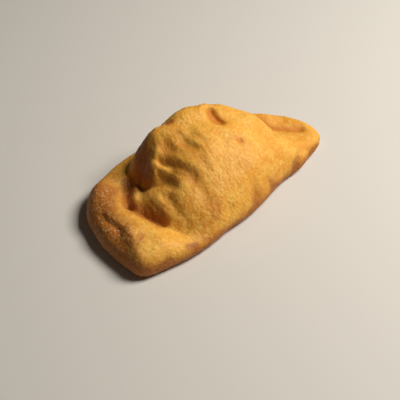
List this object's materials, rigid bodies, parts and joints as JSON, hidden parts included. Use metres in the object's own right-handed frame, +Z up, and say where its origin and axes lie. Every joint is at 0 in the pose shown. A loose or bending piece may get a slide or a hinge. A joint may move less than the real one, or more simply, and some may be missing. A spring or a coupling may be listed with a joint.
{
  "type": "fried calzone",
  "caption": "Half-moon of folded dough, sealed along its round edge and deep-fried, swollen over its filling; lies on its flat underside.",
  "frame": {"origin": "under the middle of the box, on the flat underside that lies on the table", "axes": "+X along the fold from the blunt, puffed end to the pointed end, +Y from the fold to the sealed edge, +Z up"},
  "size_m": [0.1842, 0.0968, 0.0507],
  "materials": {
    "fried_dough": "deep-fried dough, matte with a faint sheen of oil"
  },
  "bodies": {
    "root": {"crust": "fried_dough"}
  },
  "joints": []
}
